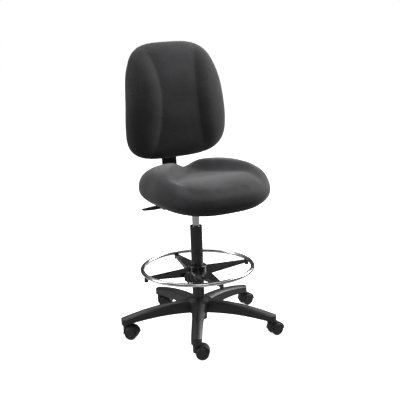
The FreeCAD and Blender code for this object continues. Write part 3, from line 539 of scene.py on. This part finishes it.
def back_grids():
    u, level, radius = squarish_rings(BACK_OUTLINE)
    x = BACK_HALF_WIDTH * u * back_taper(level)
    z = BACK_MIDDLE + BACK_HALF_HEIGHT * level
    centre = back_centre(level) + SIDE_SWEEP * np.abs(u) ** 2.2
    edge = (1.0 - radius ** 6.0) ** (1.0 / 2.2)
    front = FOAM_DEPTH * edge * (0.75 + 0.25 * (1.0 - radius ** 2))
    beyond = np.clip((np.abs(x) - panel_half_width(level)) / BOLSTER_SLOPE, 0.0, 1.0)
    sunk = PANEL_DEPTH * np.exp(-((level - 0.03) / 0.90) ** 6) * (1.0 - beyond) ** 2
    wrapped = (1.0 - radius ** 30.0) ** (1.0 / 2.2)
    rear = (shell_line(level) + SHELL_FRONT + 0.5 * MM - centre) * wrapped
    return np.stack([x, centre - front + sunk, z], -1), np.stack([x, centre + rear, z], -1)


back_cover = closed_skin("back_cushion_cover", *back_grids(), cover_cloth)
print("back:", len(back_cover.data.polygons), "faces before remeshing")

# %% [markdown]
# ## Blow up the back
# The cover is glued down along the edge of the sunken panel and it is pulled tight round the rim, so those
# points are held. Between them the foam swells a little, and leaves the two long soft creases.

# %% Simulate the back
def back_held(points):
    level = (points[:, 2] - BACK_MIDDLE) / BACK_HALF_HEIGHT
    crease = np.exp(-((np.abs(points[:, 0]) - panel_half_width(level)) / (4.0 * MM)) ** 2)
    crease = crease * (points[:, 1] < back_centre(level)) * (np.abs(level) < 0.8)
    behind = ease(-4.0 * MM, 4.0 * MM, points[:, 1] - back_centre(level))
    return np.clip(np.maximum(crease, behind), 0.0, 1.0)


even_squares(back_cover)
blow_up(back_cover, back_held(points_of(back_cover.data)), 4.0, 4.0 * MM)
smooth_once(back_cover, 3)
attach(back_cover, "back_rest")
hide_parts("back_cushion")
print("back cover:", len(back_cover.data.polygons), "faces")

# %% [markdown]
# ## The seat's curve
# The seat is nearly square with round corners. Its sides and rear rise into low bolsters, and its front
# falls away so that it doesn't press behind the knees. Underneath, the foam wraps the board: the skin goes
# up into a flat pocket, a little larger than the board, instead of closing flat.

# %% Sizes of the seat
SEAT_MIDDLE_Y = -70.6 * MM
SEAT_HALF_WIDTH = 233.3 * MM
SEAT_HALF_DEPTH = 221.0 * MM
SEAT_OUTLINE = 2.76
SEAT_FLAT = 541.0 * MM
BOARD_LOW, BOARD_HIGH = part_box("seat_board")
POCKET_GAP = 3.0 * MM
POCKET_SHARE = (BOARD_HIGH.x + POCKET_GAP) / SEAT_HALF_WIDTH
RIM_HEIGHT = 584.0
RIM_FALL = 10.6
RIM_RISE = 12.3
PAN_THICKNESS = 57.8
BOLSTER_HEIGHT = 31.0
HOLLOW_DEPTH = 9.0
REAR_RISE = 18.0
FRONT_FALL = 10.3
UNDERSIDE_SWEEP = 32.0 * MM


def seat_rim(u, v):
    forward = np.clip(-v, 0.0, 1.0)
    return (RIM_HEIGHT - RIM_FALL * forward ** 2 + RIM_RISE * np.abs(u) ** 2 * (1.0 - 0.5 * forward)) * MM


def seat_top(u, v, radius):
    """Two bolsters whose inner feet part towards the front, a hollow between them and a falling front."""
    foot = 0.60 * (1.0 - ease(-0.40, 0.55, v))
    bolster = ease(0.0, 0.30, np.abs(u) - foot) * ease(-1.0, -0.35, v)
    rear = ease(0.15, 0.75, v)
    hollow = (HOLLOW_DEPTH * ease(-0.7, 0.0, v) - REAR_RISE * rear) * (1.0 - bolster)
    fall = FRONT_FALL * ease(0.3, 1.1, -v)
    edge = (1.0 - radius ** 4.12) ** (1.0 / 2.2)
    return seat_rim(u, v) + (PAN_THICKNESS + BOLSTER_HEIGHT * bolster - hollow - fall) * edge * MM


def seat_under(u, v, radius):
    rim = seat_rim(u, v)
    drop = rim - (SEAT_FLAT - UNDERSIDE_SWEEP * np.clip(-v, 0.0, None) ** 2)
    return rim - drop * np.sqrt(1.0 - radius ** 8)


def seat_grids():
    u, v, radius = squarish_rings(SEAT_OUTLINE)
    x = SEAT_HALF_WIDTH * u * (1.0 - 0.02 * v)
    y = SEAT_MIDDLE_Y + SEAT_HALF_DEPTH * v
    under = seat_under(u, v, radius)
    pocket = BOARD_HIGH.z + POCKET_GAP
    under = np.where(radius < POCKET_SHARE, np.maximum(under, pocket), under)
    return np.stack([x, y, seat_top(u, v, radius)], -1), np.stack([x, y, under], -1)


seat_cover = closed_skin("seat_cushion_cover", *seat_grids(), cover_cloth)
print("seat:", len(seat_cover.data.polygons), "faces before remeshing")


# %% Simulate the seat
def seat_held(points):
    u = points[:, 0] / SEAT_HALF_WIDTH
    v = (points[:, 1] - SEAT_MIDDLE_Y) / SEAT_HALF_DEPTH
    return ease(0.0, 12.0 * MM, seat_rim(u, v) - points[:, 2])


even_squares(seat_cover)
blow_up(seat_cover, seat_held(points_of(seat_cover.data)), 4.0, 3.5 * MM)
smooth_once(seat_cover, 14)
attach(seat_cover, "seat_carriage")
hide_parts("seat_cushion")
print("seat cover:", len(seat_cover.data.polygons), "faces")

# %% [markdown]
# ## The cover's hem
# The cover is pulled under the edge of the board and stapled there. This hem is a band of four rings: it
# starts inside the foam, comes round under the board and lies flat on it. At the corners the spare cloth
# gathers in small folds. Solidify gives the band the thickness of cloth.

# %% Hem under the seat
HEM_WIDTH = 30.0 * MM
CLOTH_THICK = 1.0 * MM


def seat_ring(radius, drop, around=360, folds=0.0):
    """One closed ring under the seat, drop metres below the board's underside or on the foam."""
    theta = np.linspace(0.0, 2.0 * math.pi, around, endpoint=False)
    u = radius * signed_power(np.cos(theta), 2.0 / SEAT_OUTLINE)
    v = radius * signed_power(np.sin(theta), 2.0 / SEAT_OUTLINE)
    corner = np.abs(np.sin(2.0 * theta)) ** 4
    gathers = folds * corner * np.abs(np.sin(theta * 44.0)) * MM
    foam = seat_under(u, v, np.full_like(u, max(radius, POCKET_SHARE)))
    z = foam if drop is None else np.full_like(foam, BOARD_LOW.z - drop)
    x = SEAT_HALF_WIDTH * u * (1.0 - 0.02 * v)
    return np.stack([x, SEAT_MIDDLE_Y + SEAT_HALF_DEPTH * v, z - gathers], -1)


def hem():
    share = HEM_WIDTH / SEAT_HALF_WIDTH
    rings = np.stack([
        seat_ring(POCKET_SHARE + 0.035, None) + (0.0, 0.0, 2.0 * MM),
        seat_ring(POCKET_SHARE + 0.012, None) - (0.0, 0.0, 0.6 * MM),
        seat_ring(POCKET_SHARE - 0.012, None, folds=0.6) - (0.0, 0.0, 0.4 * MM),
        seat_ring(POCKET_SHARE - 0.045, 1.3 * MM, folds=1.0),
        seat_ring(POCKET_SHARE - share, 0.7 * MM, folds=0.8),
    ])
    faces = ring_faces(len(rings), rings.shape[1])
    # The band takes the darker copy of the cover cloth, which is painted shade under the seat.
    band = new_piece("seat_cover_hem", rings.reshape(-1, 3), faces, hem_cloth_painted_shade)
    thick = band.modifiers.new("cloth", "SOLIDIFY")
    thick.thickness = CLOTH_THICK
    thick.offset = 0.0
    bake_modifiers(band)
    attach(band, "seat_carriage")
    return band


seat_hem = hem()
print("hem:", len(seat_hem.data.polygons), "faces")

# %% [markdown]
# ## Geometry Nodes for what repeats
# Staples and grip ribs are one small shape set out along a path. One tree does both of them: the
# path is resampled at the spacing, a bent wire is put on each point, and it is turned to follow the path
# with a small random error, as a hand-held stapler leaves. The result is made real, given its material and
# turned into a plain mesh.

# %% A tree that sets wires out along a path
def wire_tree():
    tree = bpy.data.node_groups.new("wires_along_a_path", "GeometryNodeTree")
    face = tree.interface
    face.new_socket("Path", in_out="INPUT", socket_type="NodeSocketGeometry")
    for label, value in (("Spacing", 0.02), ("Half Length", 0.005), ("Arch", 0.001), ("Thickness", 0.0005),
                         ("Wobble", 0.05)):
        face.new_socket(label, in_out="INPUT", socket_type="NodeSocketFloat").default_value = value
    face.new_socket("Turn", in_out="INPUT", socket_type="NodeSocketFloat").default_value = 0.0
    face.new_socket("Seed", in_out="INPUT", socket_type="NodeSocketInt").default_value = SEED
    face.new_socket("Finish", in_out="INPUT", socket_type="NodeSocketMaterial")
    face.new_socket("Wires", in_out="OUTPUT", socket_type="NodeSocketGeometry")
    start = add_node(tree, "NodeGroupInput").outputs
    end = add_node(tree, "NodeGroupOutput").inputs
    path = add_node(tree, "GeometryNodeMeshToCurve", Mesh=start["Path"]).outputs[0]
    spaced = add_node(
        tree, "GeometryNodeResampleCurve", {"mode": "LENGTH"}, Curve=path, Length=start["Spacing"])
    left = add_node(tree, "ShaderNodeCombineXYZ", X=sums(tree, "MULTIPLY", start["Half Length"], -1.0))
    right = add_node(tree, "ShaderNodeCombineXYZ", X=start["Half Length"])
    middle = add_node(tree, "ShaderNodeCombineXYZ", Z=sums(tree, "MULTIPLY", start["Arch"], -1.0))
    wire = add_node(tree, "GeometryNodeCurveQuadraticBezier", Resolution=6, Start=left.outputs[0],
                    Middle=middle.outputs[0], End=right.outputs[0])
    outline = add_node(tree, "GeometryNodeCurvePrimitiveCircle", Resolution=6, Radius=start["Thickness"])
    solid = add_node(
        tree, "GeometryNodeCurveToMesh", Curve=wire.outputs[0], Profile_Curve=outline.outputs["Curve"])
    solid.inputs["Fill Caps"].default_value = True
    tangent = add_node(tree, "GeometryNodeInputTangent").outputs[0]
    along = add_node(tree, "FunctionNodeAlignRotationToVector", {"axis": "X"}, Vector=tangent).outputs[0]
    error = add_node(tree, "FunctionNodeRandomValue", {"data_type": "FLOAT"}, Seed=start["Seed"])
    tree.links.new(sums(tree, "MULTIPLY", start["Wobble"], -1.0), error.inputs[2])
    tree.links.new(start["Wobble"], error.inputs[3])
    turn = add_node(tree, "ShaderNodeCombineXYZ", Z=sums(tree, "ADD", error.outputs[1], start["Turn"]))
    turned = add_node(tree, "FunctionNodeRotateRotation", {"rotation_space": "LOCAL"}, Rotation=along)
    tree.links.new(turn.outputs[0], turned.inputs[1])
    placed = add_node(
        tree, "GeometryNodeInstanceOnPoints", Points=spaced.outputs[0], Instance=solid.outputs[0],
                      Rotation=turned.outputs[0])
    real = add_node(tree, "GeometryNodeRealizeInstances", Geometry=placed.outputs[0]).outputs[0]
    coated = add_node(tree, "GeometryNodeSetMaterial", Geometry=real, Material=start["Finish"]).outputs[0]
    tree.links.new(coated, end[0])
    return tree


WIRES = wire_tree()


def wires_along(name, points, closed, body, finish, slot_name, **sizes):
    """Runs the tree on a path and keeps its result as a plain mesh that rides on body."""
    mesh = bpy.data.meshes.new(name)
    count = len(points)
    last = count if closed else count - 1
    mesh.from_pydata([tuple(p) for p in points], [(i, (i + 1) % count) for i in range(last)], [])
    piece = bpy.data.objects.new(name, mesh)
    bpy.context.scene.collection.objects.link(piece)
    setter = piece.modifiers.new("wires", "NODES")
    setter.node_group = WIRES
    named = {item.name: item.identifier for item in WIRES.interface.items_tree if item.in_out == "INPUT"}
    for label, value in sizes.items():
        setter[named[label.replace("_", " ")]] = value
    setter[named["Finish"]] = finish
    bake_modifiers(piece)
    piece.data.polygons.foreach_set("use_smooth", [True] * len(piece.data.polygons))
    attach(piece, body)
    print(name, len(piece.data.polygons), "faces")
    return piece


print("tree:", WIRES.name, len(WIRES.nodes), "nodes")

# %% Staples round the hem, and ribs on the lever's paddle
wires_along(
    "seat_staples", seat_ring(POCKET_SHARE - 0.085, 1.9 * MM), True, "seat_carriage", FINISH["zinc_steel"],
    "zinc_steel", Spacing=0.021, Half_Length=0.0052, Arch=-0.0004, Thickness=0.0005, Wobble=0.35, Turn=0.0)

PADDLE_LOW, PADDLE_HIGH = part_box("lever_grip")
paddle_top = [
    (PADDLE_LOW.x + 34.0 * MM, 0.0, PADDLE_HIGH.z - 1.1 * MM),
    (PADDLE_LOW.x + 9.0 * MM, 0.0, PADDLE_HIGH.z - 3.1 * MM),
]
wires_along(
    "paddle_ribs", paddle_top, False, "lever", FINISH["moulded_black"], "moulded_black",
    Spacing=0.005, Half_Length=0.0062, Arch=0.0, Thickness=0.0006, Wobble=0.0, Turn=math.pi / 2)

# %% [markdown]
# ## Floor, light and camera
# A plain pale floor and soft lights. The strongest light is high on the right and a little behind, which
# draws a bright line down the right edge of the back. A long one overhead lights the seat, and weak ones
# from the left and the front keep the dark parts readable.

# %% Floor and world
def pale_floor():
    material = start_finish("floor_pale", grey(0.92), 0.9)
    tree = material.node_tree
    colour = shades(tree, grain(tree, 0.4, 2.0), (0.3, grey(0.91)), (0.7, grey(0.93)))
    wire_up(material, colour)
    glow = material.node_tree.nodes["Principled BSDF"].inputs
    glow["Emission Color"].default_value = (1.0, 1.0, 1.0, 1.0)
    glow["Emission Strength"].default_value = 0.84
    half = 14.0
    corners = [(-half, -half, 0.0), (half, -half, 0.0), (half, half, 0.0), (-half, half, 0.0)]
    floor = new_piece("floor", corners, [(0, 1, 2, 3)], material, smooth=False)
    floor.visible_diffuse = False
    floor.visible_glossy = False
    return floor


floor = pale_floor()
scene = bpy.context.scene
scene.world = bpy.data.worlds.new("studio")
scene.world.use_nodes = True


def studio_sky(tree):
    """White to look at, dim as light. Mirrored, it is a pale floor, dark walls and a pale ceiling."""
    direction = add_node(tree, "ShaderNodeTexCoord").outputs["Generated"]
    height = add_node(tree, "ShaderNodeSeparateXYZ", Vector=direction).outputs["Z"]
    dim = between(tree, height, 0.05, 0.42, -0.25, 0.9)
    upwards = between(tree, height, 0.0, 1.0, -1.0, 1.0)
    room = shades(tree, upwards, (0.30, grey(0.55)), (0.40, grey(0.20)), (0.46, grey(0.03)),
                  (0.68, grey(0.05)), (0.86, grey(0.62)))
    path = add_node(tree, "ShaderNodeLightPath").outputs
    mirrored = sums(tree, "MULTIPLY", room, path["Is Glossy Ray"])
    lit = sums(tree, "ADD", mirrored, sums(tree, "MULTIPLY", dim, path["Is Diffuse Ray"]))
    sky = tree.nodes["Background"]
    sky.inputs["Color"].default_value = (1.0, 1.0, 1.0, 1.0)
    tree.links.new(sums(tree, "MAXIMUM", lit, path["Is Camera Ray"]), sky.inputs["Strength"])


studio_sky(scene.world.node_tree)
scene.view_settings.view_transform = "Standard"
print("floor and world ready")

# %% Lights
AIM = Vector((0.0, -0.02, 0.62))


def soft_light(name, position, width, height, power):
    data = bpy.data.lights.new(name, "AREA")
    data.shape = "RECTANGLE"
    data.size = width
    data.size_y = height
    data.energy = power
    lamp = bpy.data.objects.new(name, data)
    lamp.location = position
    lamp.rotation_euler = (AIM - Vector(position)).to_track_quat("-Z", "Y").to_euler()
    scene.collection.objects.link(lamp)
    return lamp


lights = [
    soft_light("key_right", (2.6, -0.2, 1.8), 1.7, 2.4, 122.0),
    soft_light("overhead", (0.3, 0.5, 3.2), 2.8, 2.8, 60.0),
    soft_light("rim_left", (-2.3, 1.0, 1.3), 1.0, 2.2, 38.0),
    soft_light("front_fill", (-1.4, -3.4, 2.2), 1.6, 1.2, 15.0),
]
print("lights:", [lamp.name for lamp in lights])

# %% [markdown]
# ## Camera
# The camera stands a little to the chair's right and looks slightly down. It is built from plain angles: how
# far round it is, how far it looks down and how much it is tilted on its side, and from how far off it is.

# %% Camera
AZIMUTH = math.radians(-30.0)
PITCH = math.radians(13.71)
ROLL = math.radians(-2.17)
DISTANCE = 3.168
LOOK_HEIGHT = 0.5245
LOOK_ASIDE = 0.0196
LENS = 73.86


def place_camera():
    level_right = Vector((math.cos(AZIMUTH), math.sin(AZIMUTH), 0.0))
    back = Vector((
        math.sin(AZIMUTH) * math.cos(PITCH), -math.cos(AZIMUTH) * math.cos(PITCH), math.sin(PITCH)))
    level_up = back.cross(level_right)
    right = level_right * math.cos(ROLL) + level_up * math.sin(ROLL)
    up = back.cross(right)
    centre = Vector((0.0, 0.0, LOOK_HEIGHT)) + level_right * LOOK_ASIDE + back * DISTANCE
    data = bpy.data.cameras.new("camera")
    data.lens = LENS
    data.sensor_width = 36.0
    data.clip_end = 100.0
    camera = bpy.data.objects.new("camera", data)
    camera.matrix_world = Matrix((
        (right.x, up.x, back.x, centre.x), (right.y, up.y, back.y, centre.y),
        (right.z, up.z, back.z, centre.z), (0.0, 0.0, 0.0, 1.0)))
    scene.collection.objects.link(camera)
    scene.camera = camera
    return camera


camera = place_camera()
print("camera at", [round(c, 3) for c in camera.matrix_world.translation])
